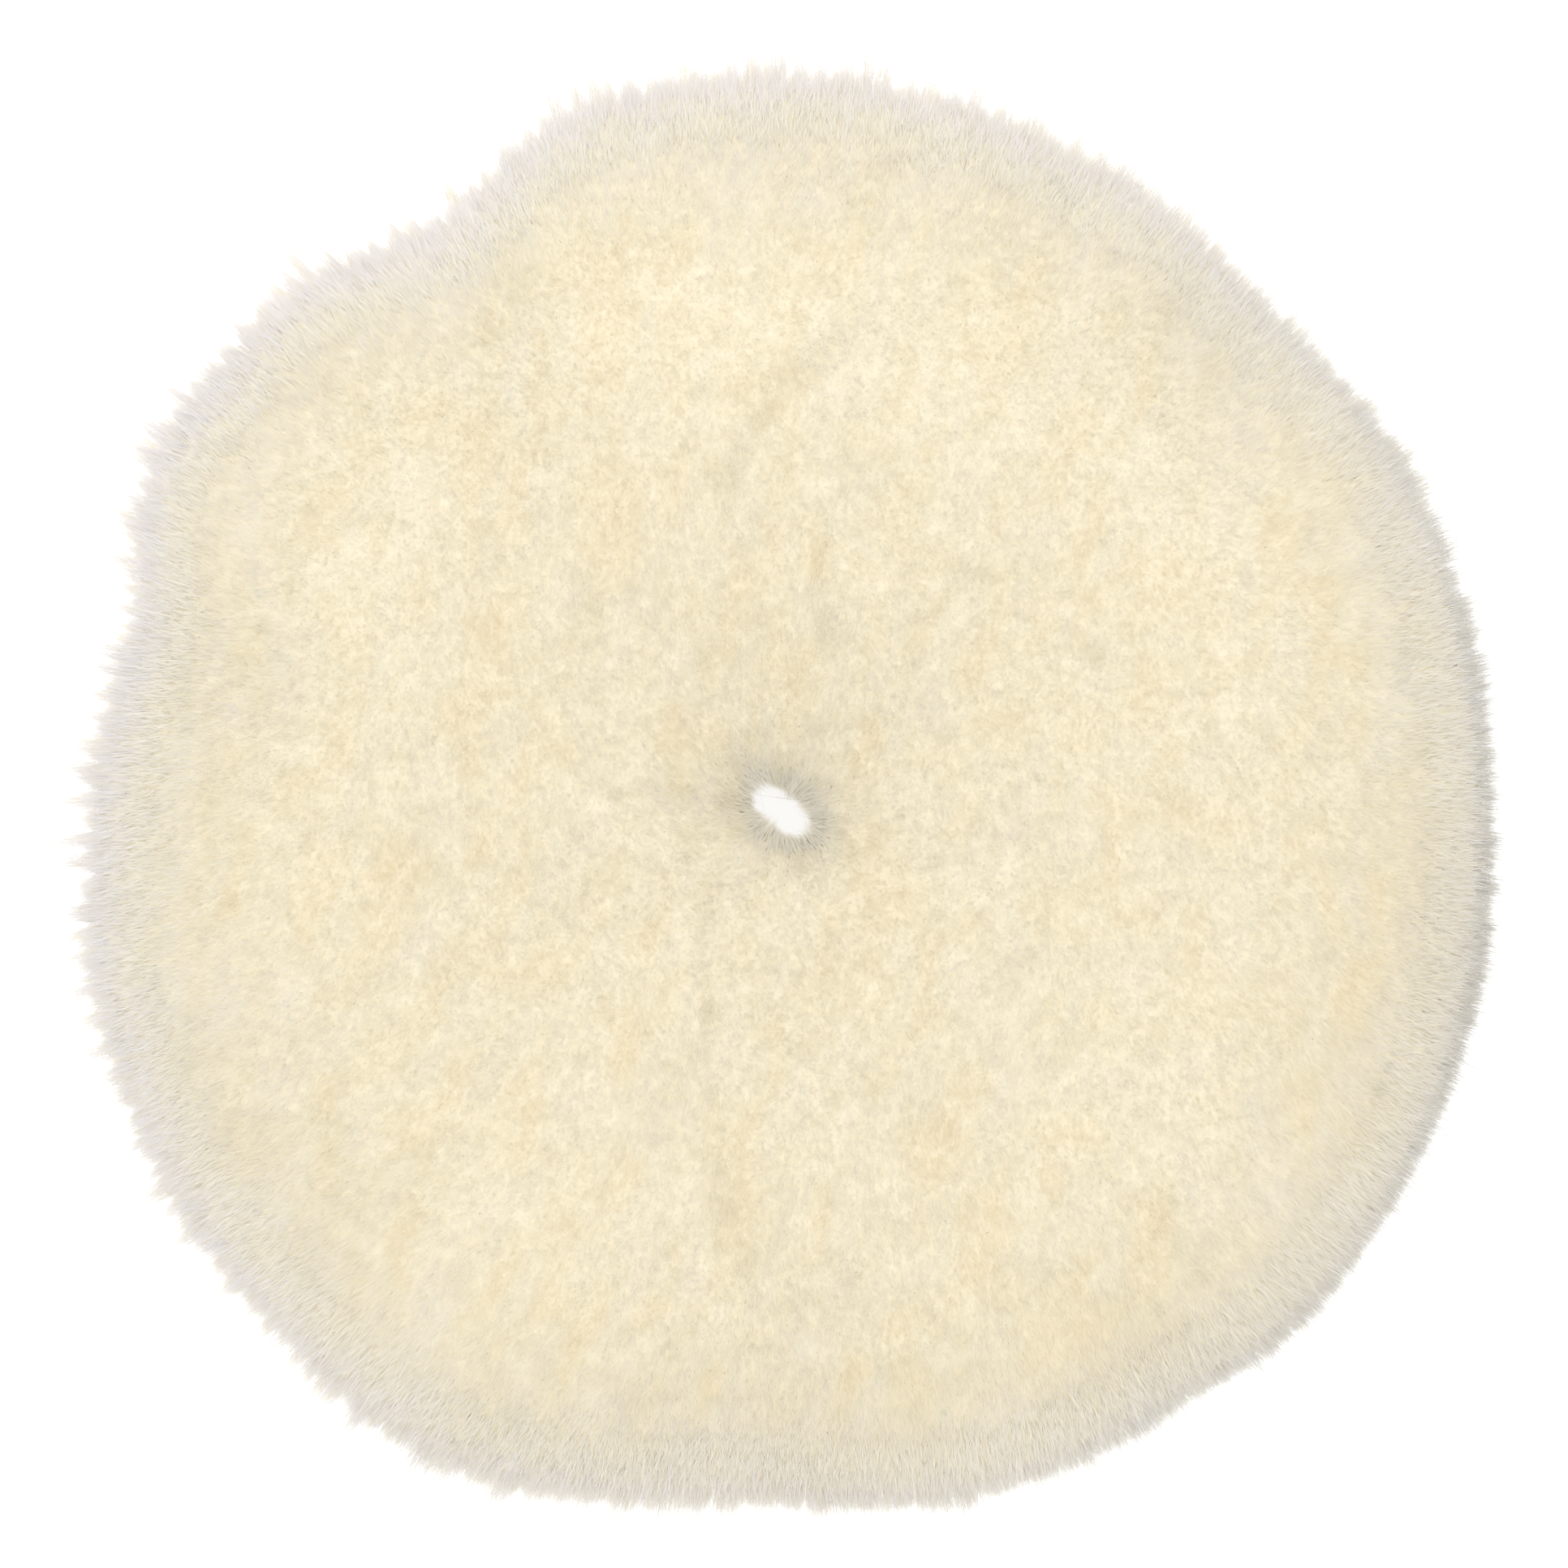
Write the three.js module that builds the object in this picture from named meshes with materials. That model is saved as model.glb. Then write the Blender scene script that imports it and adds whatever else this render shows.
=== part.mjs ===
// Lambswool polishing pad for a rotary polisher: a clipped lambswool nap on its own skin, a foam
// interlayer, and a hook-and-loop backing overlocked to the skin round the rim.
// Millimetres, +Z up. The pad lies on its loop face at z = 0 with the wool upwards. The origin is
// on the axis of the centring hole, at the loop face. The nap reaches equally far from the axis
// along +X, -X, +Y and -Y, so the axis also stands in the middle of the outline.
import * as THREE from 'three';

// Driving dimensions
const BACKING_RADIUS = 75; // for a 150 mm backing plate
const HOLE_RADIUS = 10; // centring hole through everything but the wool
const WOOL_RADIUS = 89; // reach of the nap from the axis
const WOOL_TOP = 33; // highest point of the nap
const GAP = 0.3; // clearance between pieces that touch on the real pad

// Layers, from the loop face upwards
const BACKING_THICKNESS = 1.8;
const FILM_THICKNESS = 0.3;
const FOAM_THICKNESS = 6;
const HIDE_THICKNESS = 1.4;
const REAR_FILM_BOTTOM = BACKING_THICKNESS + GAP;
const FOAM_BOTTOM = REAR_FILM_BOTTOM + FILM_THICKNESS + GAP;
const FRONT_FILM_BOTTOM = FOAM_BOTTOM + FOAM_THICKNESS + GAP;
const HIDE_BOTTOM = FRONT_FILM_BOTTOM + FILM_THICKNESS + GAP;
const HIDE_TOP = HIDE_BOTTOM + HIDE_THICKNESS;

// Rim, where the skin is drawn down over the foam and overlocked to the backing
const FOAM_RADIUS = 67.5;
const FOAM_SHOULDER = 2.5; // the foam's upper edge is eased where the skin turns down
const FILM_RADIUS = FOAM_RADIUS - FOAM_SHOULDER - 0.5;
const RIM_PRESS_START = 69; // the backing is flat inside this radius
const RIM_PRESS_END = 71.5;
const RIM_BACKING_BOTTOM = 1.3; // the seam presses the backing up and thin here
const RIM_BACKING_TOP = 2.3;
const RIM_HIDE_HALF = 0.55; // half the skin's thickness where the seam squeezes it
const RIM_HIDE_MIDDLE = RIM_BACKING_TOP + GAP + RIM_HIDE_HALF;
const HIDE_RIM_RADIUS = BACKING_RADIUS - 0.4;

// Threads
const THREAD_RADIUS = 0.25;
const THREAD_SIDES = 3;
const RIM_STITCHES = 72;
const RIM_SEAM_RADIUS = 72.2; // needle line of the overlock
const CENTRE_SEAM_RADIUS = 13.2;
const CENTRE_STITCHES = 20;
const BOBBIN_GROOVE_DEPTH = 0.9; // the centre seam pulls the loop cloth in, clear of the plate

// Wool round the centring hole
const NECK_LENGTH = 8.6; // the nap closes to a slit of this length and width
const NECK_WIDTH = 6.6;
const NECK_ANGLE = THREE.MathUtils.degToRad(-40);
const NECK_LIP_HEIGHT = 24; // where the slit opens into the dimple

const TURNS = 60; // facets round the pad
const FULL_TURN = 2 * Math.PI;

const wool = new THREE.MeshStandardMaterial({ color: 0xf2e7ca, roughness: 0.95, metalness: 0 });
const leather = new THREE.MeshStandardMaterial({ color: 0xe4d6b6, roughness: 0.8, metalness: 0 });
const adhesive = new THREE.MeshStandardMaterial({ color: 0xd9c98c, roughness: 0.4, metalness: 0 });
const foam = new THREE.MeshStandardMaterial({ color: 0x5d6064, roughness: 0.9, metalness: 0 });
const loopCloth = new THREE.MeshStandardMaterial({ color: 0xdad8d2, roughness: 0.9, metalness: 0 });
const thread = new THREE.MeshStandardMaterial({ color: 0xefe9da, roughness: 0.6, metalness: 0 });

const pad = new THREE.Group();

function add(name, geometry, material) {
  const mesh = new THREE.Mesh(geometry, material);
  mesh.name = name;
  pad.add(mesh);
}

// A ring swept round the Z axis from a closed outline of [radius, height] points, listed
// anticlockwise as seen with the radius to the right and the height upwards.
function ring(outline) {
  const points = outline.map(([radius, height]) => new THREE.Vector2(radius, height));
  points.push(points[0].clone());
  const geometry = new THREE.LatheGeometry(points, TURNS);
  geometry.rotateX(Math.PI / 2);
  return geometry;
}

function flatRing(inner, outer, bottom, thickness) {
  const top = bottom + thickness;
  return ring([[inner, bottom], [outer, bottom], [outer, top], [inner, top]]);
}

// Points of an arc in the radius-height plane, with both ends
function arc(centreRadius, centreHeight, size, fromDegrees, toDegrees, steps) {
  const points = [];
  for (let i = 0; i <= steps; i += 1) {
    const angle = THREE.MathUtils.degToRad(fromDegrees + ((toDegrees - fromDegrees) * i) / steps);
    points.push([centreRadius + size * Math.cos(angle), centreHeight + size * Math.sin(angle)]);
  }
  return points;
}

// Loop cloth: flat in the middle, pressed up and thin under the overlock, and pulled in by the
// centre seam so that its thread never touches the plate.
function loopBacking() {
  const grooveHalf = 1.1;
  const topAhead = 0.6; // the upper side steps up this much nearer the axis than the loop face
  return ring([
    [HOLE_RADIUS, 0],
    [CENTRE_SEAM_RADIUS - grooveHalf, 0],
    [CENTRE_SEAM_RADIUS - grooveHalf / 2, BOBBIN_GROOVE_DEPTH],
    [CENTRE_SEAM_RADIUS + grooveHalf / 2, BOBBIN_GROOVE_DEPTH],
    [CENTRE_SEAM_RADIUS + grooveHalf, 0],
    [RIM_PRESS_START, 0],
    [RIM_PRESS_END, RIM_BACKING_BOTTOM],
    [BACKING_RADIUS, RIM_BACKING_BOTTOM],
    [BACKING_RADIUS, RIM_BACKING_TOP],
    [RIM_PRESS_END - topAhead, RIM_BACKING_TOP],
    [RIM_PRESS_START - topAhead, BACKING_THICKNESS],
    [HOLE_RADIUS, BACKING_THICKNESS],
  ]);
}

function foamInterlayer() {
  const top = FOAM_BOTTOM + FOAM_THICKNESS;
  const shoulder = arc(FOAM_RADIUS - FOAM_SHOULDER, top - FOAM_SHOULDER, FOAM_SHOULDER, 0, 90, 3);
  return ring([
    [HOLE_RADIUS, FOAM_BOTTOM],
    [FOAM_RADIUS, FOAM_BOTTOM],
    ...shoulder,
    [HOLE_RADIUS, top],
  ]);
}

// The line through the middle of the skin, from the hole to the rim
function hideLine() {
  const middle = HIDE_BOTTOM + HIDE_THICKNESS / 2;
  const offFoam = middle - (FOAM_BOTTOM + FOAM_THICKNESS);
  const turnDown = FOAM_RADIUS - FOAM_SHOULDER;
  const bend = FOAM_SHOULDER + offFoam;
  const footBend = 1.6; // where the skin turns out again to lie on the backing's rim
  return [
    [HOLE_RADIUS, middle],
    ...arc(turnDown, middle - bend, bend, 90, 0, 3),
    ...arc(turnDown + bend + footBend, RIM_HIDE_MIDDLE + footBend, footBend, 180, 270, 2),
    [HIDE_RIM_RADIUS, RIM_HIDE_MIDDLE],
  ];
}

// A line in the radius-height plane, moved a distance to its left
function offsetLine(line, distance) {
  return line.map((point, i) => {
    const before = line[Math.max(i - 1, 0)];
    const after = line[Math.min(i + 1, line.length - 1)];
    const alongRadius = after[0] - before[0];
    const alongHeight = after[1] - before[1];
    const length = Math.hypot(alongRadius, alongHeight);
    return [
      point[0] - (alongHeight / length) * distance,
      point[1] + (alongRadius / length) * distance,
    ];
  });
}

function lambskinHide() {
  const line = hideLine();
  const half = line.map(([radius]) => (radius > FOAM_RADIUS ? RIM_HIDE_HALF : HIDE_THICKNESS / 2));
  const above = line.map((point, i) => offsetLine(line, half[i])[i]);
  const below = line.map((point, i) => offsetLine(line, -half[i])[i]);
  return ring([...below, ...above.reverse()]);
}

// How far the nap reaches from the axis at an angle: full at 0, 90, 180 and 270 degrees, with
// shallow dents where the tufts part and fuller tufts lower left and lower right.
function woolReach(angle) {
  const tufts = [
    { at: 240, width: 13, size: 1.8 },
    { at: 313, width: 13, size: 1.6 },
    { at: 48, width: 11, size: -2.6 },
    { at: 121, width: 12, size: -3.2 },
    { at: 164, width: 7, size: -2.2 },
    { at: 210, width: 9, size: 0.8 },
  ];
  const degrees = THREE.MathUtils.radToDeg(angle);
  let reach = WOOL_RADIUS;
  for (const { at, width, size } of tufts) {
    const away = ((degrees - at + 540) % 360) - 180;
    if (Math.abs(away) < 2 * width) {
      reach += size * Math.cos((Math.PI / 4) * (away / width)) ** 2;
    }
  }
  return reach;
}

// Radius of the slit in the nap at an angle: an ellipse turned by NECK_ANGLE
function neckRadius(angle) {
  const along = Math.cos(angle - NECK_ANGLE) / (NECK_LENGTH / 2);
  const across = Math.sin(angle - NECK_ANGLE) / (NECK_WIDTH / 2);
  return 1 / Math.hypot(along, across);
}

// The nap's outline at one angle: up the outside from the rim, over the crown, down the dimple
// and the slit, and back along the skin with a small gap. It steps over the two seams' threads.
function woolOutline(angle) {
  const reach = woolReach(angle);
  const neck = neckRadius(angle);
  const bed = offsetLine(hideLine(), HIDE_THICKNESS / 2 + GAP).slice(1, -1);
  const centreFloor = HIDE_TOP + GAP;
  const rimFloor = RIM_HIDE_MIDDLE + RIM_HIDE_HALF + GAP;
  const overThread = 2 * THREAD_RADIUS + GAP;
  const skirt = BACKING_RADIUS + 1.3; // the nap hangs clear of the overlock's edge
  return [
    [skirt, rimFloor],
    [skirt + 0.3, 2.2],
    [skirt + 5.1, 2.6],
    [reach - 3.2, 6.2],
    [reach - 0.6, 10.8],
    [reach, 15.4],
    [reach - 1.6, 20.4],
    [reach - 5.6, 25.4],
    [reach - 12, 29.2],
    [reach - 26, 31.8],
    [40, WOOL_TOP],
    [22, 32.6],
    [14, 30.4],
    [9.2, 27.2],
    [neck + 1, NECK_LIP_HEIGHT],
    [neck, NECK_LIP_HEIGHT - 3],
    [neck, NECK_LIP_HEIGHT - 6.5],
    [neck + 2, NECK_LIP_HEIGHT - 9.5],
    [HOLE_RADIUS, centreFloor],
    [CENTRE_SEAM_RADIUS - 1.2, centreFloor],
    [CENTRE_SEAM_RADIUS - 0.7, centreFloor + overThread],
    [CENTRE_SEAM_RADIUS + 0.7, centreFloor + overThread],
    [CENTRE_SEAM_RADIUS + 1.2, centreFloor],
    ...bed,
    [RIM_SEAM_RADIUS - 1, rimFloor],
    [RIM_SEAM_RADIUS - 0.6, rimFloor + overThread],
    [BACKING_RADIUS + 0.8, rimFloor + overThread],
  ];
}

// A closed skin of quads over rings of points, one closed outline for each turn
function sweep(outlineAt) {
  const positions = [];
  const indices = [];
  const count = outlineAt(0).length;
  for (let turn = 0; turn < TURNS; turn += 1) {
    const angle = (FULL_TURN * turn) / TURNS;
    for (const [radius, height] of outlineAt(angle)) {
      positions.push(radius * Math.cos(angle), radius * Math.sin(angle), height);
    }
  }
  for (let turn = 0; turn < TURNS; turn += 1) {
    const here = turn * count;
    const next = ((turn + 1) % TURNS) * count;
    for (let i = 0; i < count; i += 1) {
      const j = (i + 1) % count;
      indices.push(here + i, next + i, next + j, here + i, next + j, here + j);
    }
  }
  const geometry = new THREE.BufferGeometry();
  geometry.setAttribute('position', new THREE.Float32BufferAttribute(positions, 3));
  geometry.setIndex(indices);
  geometry.computeVertexNormals();
  return geometry;
}

// A closed ring of thread through points that repeat once for each stitch, each point given as
// [share of the stitch, radius, height].
function threadRing(stitches, stitchPoints) {
  const points = [];
  for (let stitch = 0; stitch < stitches; stitch += 1) {
    for (const [share, radius, height] of stitchPoints) {
      const angle = (FULL_TURN * (stitch + share)) / stitches;
      points.push(new THREE.Vector3(radius * Math.cos(angle), radius * Math.sin(angle), height));
    }
  }
  const curve = new THREE.CatmullRomCurve3(points, true);
  return new THREE.TubeGeometry(curve, points.length, THREAD_RADIUS, THREAD_SIDES, true);
}

// The overlock: the needle thread runs along the seam line on the skin, the upper looper's thread
// goes from it over the skin to the edge, and the lower looper's thread from the edge under the
// backing to the seam line, half a stitch further on.
const clear = GAP + THREAD_RADIUS;
const rimTop = RIM_HIDE_MIDDLE + RIM_HIDE_HALF + clear;
const rimUnder = RIM_BACKING_BOTTOM - clear;
const edgeMiddle = (rimTop + rimUnder) / 2;
const edgeRadius = BACKING_RADIUS + clear + 0.05;
const overEdge = BACKING_RADIUS + 0.1;

function rimNeedleThread() {
  return threadRing(RIM_STITCHES, [
    [0, RIM_SEAM_RADIUS - 0.1, rimTop],
    [0.5, RIM_SEAM_RADIUS - 0.2, rimTop + 0.05],
  ]);
}

function rimUpperLooperThread() {
  return threadRing(RIM_STITCHES, [
    [0, RIM_SEAM_RADIUS + 0.9, rimTop],
    [0.3, overEdge, rimTop],
    [0.5, edgeRadius, edgeMiddle + 0.8],
    [0.7, overEdge, rimTop],
  ]);
}

function rimLowerLooperThread() {
  return threadRing(RIM_STITCHES, [
    [0, edgeRadius, edgeMiddle - 0.8],
    [0.2, overEdge, rimUnder],
    [0.5, RIM_SEAM_RADIUS + 0.2, rimUnder],
    [0.8, overEdge, rimUnder],
  ]);
}

// The lockstitch ring round the centring hole: one thread on the skin, one under the loop cloth
function centreNeedleThread() {
  const height = HIDE_TOP + clear;
  return threadRing(CENTRE_STITCHES, [
    [0, CENTRE_SEAM_RADIUS, height],
    [0.5, CENTRE_SEAM_RADIUS, height + 0.05],
  ]);
}

function centreBobbinThread() {
  const height = BOBBIN_GROOVE_DEPTH - clear;
  return threadRing(CENTRE_STITCHES, [
    [0, CENTRE_SEAM_RADIUS, height],
    [0.5, CENTRE_SEAM_RADIUS, height - 0.05],
  ]);
}

function film(bottom) {
  return flatRing(HOLE_RADIUS, FILM_RADIUS, bottom, FILM_THICKNESS);
}

add('loop_backing', loopBacking(), loopCloth);
add('rear_adhesive_film', film(REAR_FILM_BOTTOM), adhesive);
add('foam_interlayer', foamInterlayer(), foam);
add('front_adhesive_film', film(FRONT_FILM_BOTTOM), adhesive);
add('lambskin_hide', lambskinHide(), leather);
add('wool_pile', sweep(woolOutline), wool);
add('rim_needle_thread', rimNeedleThread(), thread);
add('rim_upper_looper_thread', rimUpperLooperThread(), thread);
add('rim_lower_looper_thread', rimLowerLooperThread(), thread);
add('centre_needle_thread', centreNeedleThread(), thread);
add('centre_bobbin_thread', centreBobbinThread(), thread);

export default pad;
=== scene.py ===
"""Looks of a lambswool polishing pad: a cream nap of clumped fibres on its skin, a foam
interlayer and a hook-and-loop back overlocked round the rim. Metres, +Z up; the pad lies on its
loop face with the wool upwards, and the camera looks straight down on it."""

import math

import bpy
import numpy as np
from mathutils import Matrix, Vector


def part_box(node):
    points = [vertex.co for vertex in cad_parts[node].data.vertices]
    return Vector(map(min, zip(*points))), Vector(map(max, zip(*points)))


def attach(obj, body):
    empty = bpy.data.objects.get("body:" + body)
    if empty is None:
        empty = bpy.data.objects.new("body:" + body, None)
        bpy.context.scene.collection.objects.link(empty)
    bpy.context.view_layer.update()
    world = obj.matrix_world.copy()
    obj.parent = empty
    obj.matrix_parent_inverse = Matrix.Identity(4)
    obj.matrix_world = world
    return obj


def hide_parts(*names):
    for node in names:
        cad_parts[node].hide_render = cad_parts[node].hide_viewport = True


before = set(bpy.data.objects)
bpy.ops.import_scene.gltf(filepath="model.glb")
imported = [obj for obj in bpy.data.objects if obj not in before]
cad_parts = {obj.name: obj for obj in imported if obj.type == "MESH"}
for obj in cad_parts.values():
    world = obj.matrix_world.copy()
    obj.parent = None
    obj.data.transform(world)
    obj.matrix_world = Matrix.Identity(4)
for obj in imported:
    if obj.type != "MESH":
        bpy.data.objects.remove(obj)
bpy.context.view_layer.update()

MM = 0.001
TURN = 2 * math.pi


def layer(node):
    """A CAD node's lowest and highest heights, and how far it reaches from the pad's axis."""
    low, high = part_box(node)
    return low[2], high[2], high[0]


_, _, WOOL_REACH = layer("wool_pile")
_, HIDE_TOP, HIDE_RADIUS = layer("lambskin_hide")
FRONT_LOW, FRONT_TOP, FILM_RADIUS = layer("front_adhesive_film")
FOAM_LOW, FOAM_TOP, FOAM_RADIUS = layer("foam_interlayer")
REAR_LOW, REAR_TOP, _ = layer("rear_adhesive_film")
_, BACKING_RIM_TOP, BACKING_RADIUS = layer("loop_backing")
GAP = FOAM_LOW - REAR_TOP           # the clearance between two layers
BACKING_TOP = REAR_LOW - GAP
HIDE_HALF = (HIDE_TOP - FRONT_TOP - GAP) / 2

# Sizes of the CAD model that its boxes don't give
HOLE_RADIUS = 10 * MM
FOAM_SHOULDER = 2.5 * MM
RIM_HIDE_HALF = 0.55 * MM
CENTRE_SEAM = 13.2 * MM             # the radius of the stitch ring round the hole
THREAD_RADIUS = 0.25 * MM


# ---------------------------------------------------------------- camera, light and floor

def make_camera():
    """A long lens straight above the pad, a little above its middle in the picture."""
    across, widest = 193.2 * MM, 15 * MM        # the picture's width, at the pad's widest height
    aim_x, aim_y = 0.3 * MM, 3.2 * MM
    lens, sensor = 200, 36
    data = bpy.data.cameras.new("camera")
    data.lens = lens
    data.sensor_width = sensor
    data.clip_end = 20
    camera = bpy.data.objects.new("camera", data)
    camera.location = (aim_x, aim_y, widest + across * lens / sensor)
    bpy.context.scene.collection.objects.link(camera)
    bpy.context.scene.camera = camera


def area_light(name, place, target, size, watts, colour):
    """A round soft light that faces the target."""
    data = bpy.data.lights.new(name, "AREA")
    data.shape = "DISK"
    data.size = size
    data.energy = watts
    data.color = colour
    light = bpy.data.objects.new(name, data)
    light.location = place
    aim = (np.array(target) - np.array(place)).tolist()
    light.rotation_euler = Vector(aim).to_track_quat("-Z", "Y").to_euler()
    bpy.context.scene.collection.objects.link(light)


def make_lights():
    """A key light behind the top edge of the picture, and a fill from straight above."""
    middle = (0, 0, 0.02)
    area_light("key", (-0.15, 0.55, 1.5), middle, size=1.1, watts=3.8, colour=(1, 0.99, 0.975))
    area_light("top", (0.05, 0.1, 1.6), middle, size=1.2, watts=4.4, colour=(1, 0.995, 0.985))


def put(node, values):
    """Sets a node's own inputs by name."""
    for name, value in values.items():
        node.inputs[name].default_value = value


def make_world():
    """A soft white dome, a little brighter below the horizon, as over a pale floor."""
    world = bpy.data.worlds.new("dome")
    bpy.context.scene.world = world
    world.use_nodes = True
    nodes, links = world.node_tree.nodes, world.node_tree.links
    place = nodes.new("ShaderNodeTexCoord")
    split = nodes.new("ShaderNodeSeparateXYZ")
    ramp = nodes.new("ShaderNodeMapRange")
    put(ramp, {"From Min": -0.25, "From Max": 0.35, "To Min": 1.08, "To Max": 0.97})
    links.new(place.outputs["Generated"], split.inputs[0])
    links.new(split.outputs["Z"], ramp.inputs["Value"])
    links.new(ramp.outputs[0], nodes["Background"].inputs["Strength"])
    put(nodes["Background"], {"Color": (0.985, 0.99, 1, 1)})


def make_floor():
    """A pale floor that glows a little, as a light table does, and doesn't light the pad."""
    half = 4
    mesh = bpy.data.meshes.new("floor")
    corners = [(-half, -half, 0), (half, -half, 0), (half, half, 0), (-half, half, 0)]
    mesh.from_pydata(corners, [], [(0, 1, 2, 3)])
    floor = bpy.data.objects.new("floor", mesh)
    bpy.context.scene.collection.objects.link(floor)
    material = bpy.data.materials.new("floor")
    material.use_nodes = True
    put(material.node_tree.nodes["Principled BSDF"], {
        "Base Color": (0.5, 0.5, 0.5, 1), "Roughness": 1, "Specular IOR Level": 0,
        "Emission Color": (1, 1, 1, 1), "Emission Strength": 0.85,
    })
    mesh.materials.append(material)
    floor.visible_diffuse = False
    floor.visible_glossy = False
    floor.visible_shadow = False


# ---------------------------------------------------------------- noise and clumps

def scatter(i, j, seed):
    """A repeatable value from 0 to 1 for each pair of whole numbers, from an integer hash."""
    mask = 0xFFFFFFFF
    n = (i.astype(np.int64) * 374761393 + j.astype(np.int64) * 668265263 + seed * 974711) & mask
    n = ((n ^ (n >> 13)) * 1274126177) & mask
    n = ((n ^ (n >> 16)) * 2246822519) & mask
    return ((n >> 8) & 0xFFFF) / 65535.0


def smooth_noise(x, y, size, seed):
    """Smooth noise from -1 to 1 over a plane, with lumps about as wide as size."""
    gx, gy = x / size, y / size
    ix, iy = np.floor(gx), np.floor(gy)
    fx, fy = gx - ix, gy - iy
    fx, fy = fx * fx * (3 - 2 * fx), fy * fy * (3 - 2 * fy)
    low = scatter(ix, iy, seed) * (1 - fx) + scatter(ix + 1, iy, seed) * fx
    high = scatter(ix, iy + 1, seed) * (1 - fx) + scatter(ix + 1, iy + 1, seed) * fx
    return 2 * (low * (1 - fy) + high * fy) - 1


def clumps(x, y, size, seed):
    """The nearest clump of each point: its middle, its own value, and how far off it is."""
    jitter = 0.85
    ix, iy = np.floor(x / size), np.floor(y / size)
    nearest = np.full(x.shape, 1e9)
    cx, cy, own = np.zeros(x.shape), np.zeros(x.shape), np.zeros(x.shape)
    for di in (-1, 0, 1):
        for dj in (-1, 0, 1):
            i, j = ix + di, iy + dj
            px = (i + 0.5 + jitter * (scatter(i, j, seed) - 0.5)) * size
            py = (j + 0.5 + jitter * (scatter(i, j, seed + 1) - 0.5)) * size
            away = np.hypot(px - x, py - y)
            closer = away < nearest
            nearest = np.where(closer, away, nearest)
            cx, cy = np.where(closer, px, cx), np.where(closer, py, cy)
            own = np.where(closer, scatter(i, j, seed + 2), own)
    return cx, cy, own, nearest


def ease(low, high, value):
    """A smooth rise from 0 at low to 1 at high."""
    share = np.clip((value - low) / (high - low), 0, 1)
    return share * share * (3 - 2 * share)


def unit(vectors):
    """Each row of vectors at length 1."""
    return vectors / np.maximum(np.linalg.norm(vectors, axis=1)[:, None], 1e-6)


def polar(radius, angle):
    """The x and y of points at a radius and an angle."""
    return radius * np.cos(angle), radius * np.sin(angle)


def curve_point(a, b, c, d, t):
    """The point at share t from b to c on the Catmull-Rom curve through a, b, c and d."""
    square = (2 * a - 5 * b + 4 * c - d) * t ** 2
    cube = (3 * b - a - 3 * c + d) * t ** 3
    return 0.5 * (2 * b + (c - a) * t + square + cube)


# ---------------------------------------------------------------- the nap's surface

# Half of the nap's section, from the slit over the crown to the skirt, as (radius, height).
NAP_SECTION = np.array([
    (3.2, 24), (3, 27.4), (3.4, 29.2), (5.2, 30.3), (8.6, 31.1), (13, 31.8), (20, 32.4),
    (40, 32.8), (62, 31.8), (75, 29), (82.2, 25), (86.2, 20.2), (87.6, 15.2), (86.8, 10.6),
    (84.2, 6.4), (80, 3.4), (77.6, 2.6),
]) * MM
LIP_POINT = 2                       # the point of NAP_SECTION at the lip of the slit
# How far the tufts reach in millimetres, by angle in degrees from +X towards +Y.
NAP_OUTLINE = (
    (0, 89.7), (28, 90.1), (46, 88.7), (62, 90.8), (78, 92.2), (90, 93.1), (104, 92.7), (121, 86.3),
    (136, 90.5), (150, 91.1), (165, 85.4), (180, 87.3), (196, 90.1), (210, 91), (225, 91.5),
    (240, 93.4), (268, 87.8), (290, 90.5), (303, 90.6), (315, 92.4), (332, 91.8), (345, 91.1),
    (360, 89.7),
)
# Where the nap parts, as points across the face and the depth of the parting, in millimetres.
PARTINGS = (
    (((8, 62), (2, 57), (-4, 52), (-8, 47), (-7, 41)), 0.8),
    (((7, 37), (6, 31), (9, 26)), 0.6),
    (((-13, -13), (-12, -28), (-9, -43), (-7, -56), (-5, -69)), 0.45),
    (((-27, 4), (-17, 2.5), (-7, 0)), 0.4),
    (((40, 26), (43, 22)), 0.5),
)
# The slit that the nap leaves open over the hole: half its length and half its width.
SLIT_LONG, SLIT_WIDE = 4.4 * MM, 2.5 * MM
SLIT_ANGLE = math.radians(-40)
# The shaggiest side is also the side towards the light: its fringe is painted pale as backlight,
# and the far side's fringe olive as painted shade.
SHAG_AND_LIGHT_ANGLE = math.radians(150)      # the side whose rim is shaggiest
# Wool colours: from a warm peach, painted shade in the nap's low valleys, through the wool's own
# cream to a paler cream painted lighter on its crests, between the fringe's olive grey at 0,
# painted shade on the side away from the light, and its lilac grey at 1, painted backlight in the
# thin fringe on the side towards it.
WOOL_TONES = (
    (0, (0.84, 0.83, 0.79)), (0.12, (0.97, 0.848, 0.6)), (0.5, (0.938, 0.876, 0.702)),
    (0.85, (0.94, 0.902, 0.81)), (1, (0.915, 0.897, 1)),
)


def smooth_line(points, steps):
    """Points along a Catmull-Rom curve through the given points."""
    ends = np.vstack([2 * points[0] - points[1], points, 2 * points[-1] - points[-2]])
    out = []
    for i in range(len(points) - 1):
        for t in np.linspace(0, 1, steps, endpoint=False):
            out.append(curve_point(*ends[i:i + 4], t))
    out.append(points[-1])
    return np.array(out)


SECTION_STEPS = 24
nap_line = smooth_line(NAP_SECTION, SECTION_STEPS)
nap_steps = np.linalg.norm(np.diff(nap_line, axis=0), axis=1)
nap_spread = nap_line[0, 0] + np.concatenate([[0], np.cumsum(nap_steps)])
nap_along = unit(np.gradient(nap_line, axis=0))
SPREAD_END = nap_spread[-1]
LIP_SPREAD = nap_spread[LIP_POINT * SECTION_STEPS]
outline_at, outline_reach = np.array(NAP_OUTLINE).T


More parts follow.
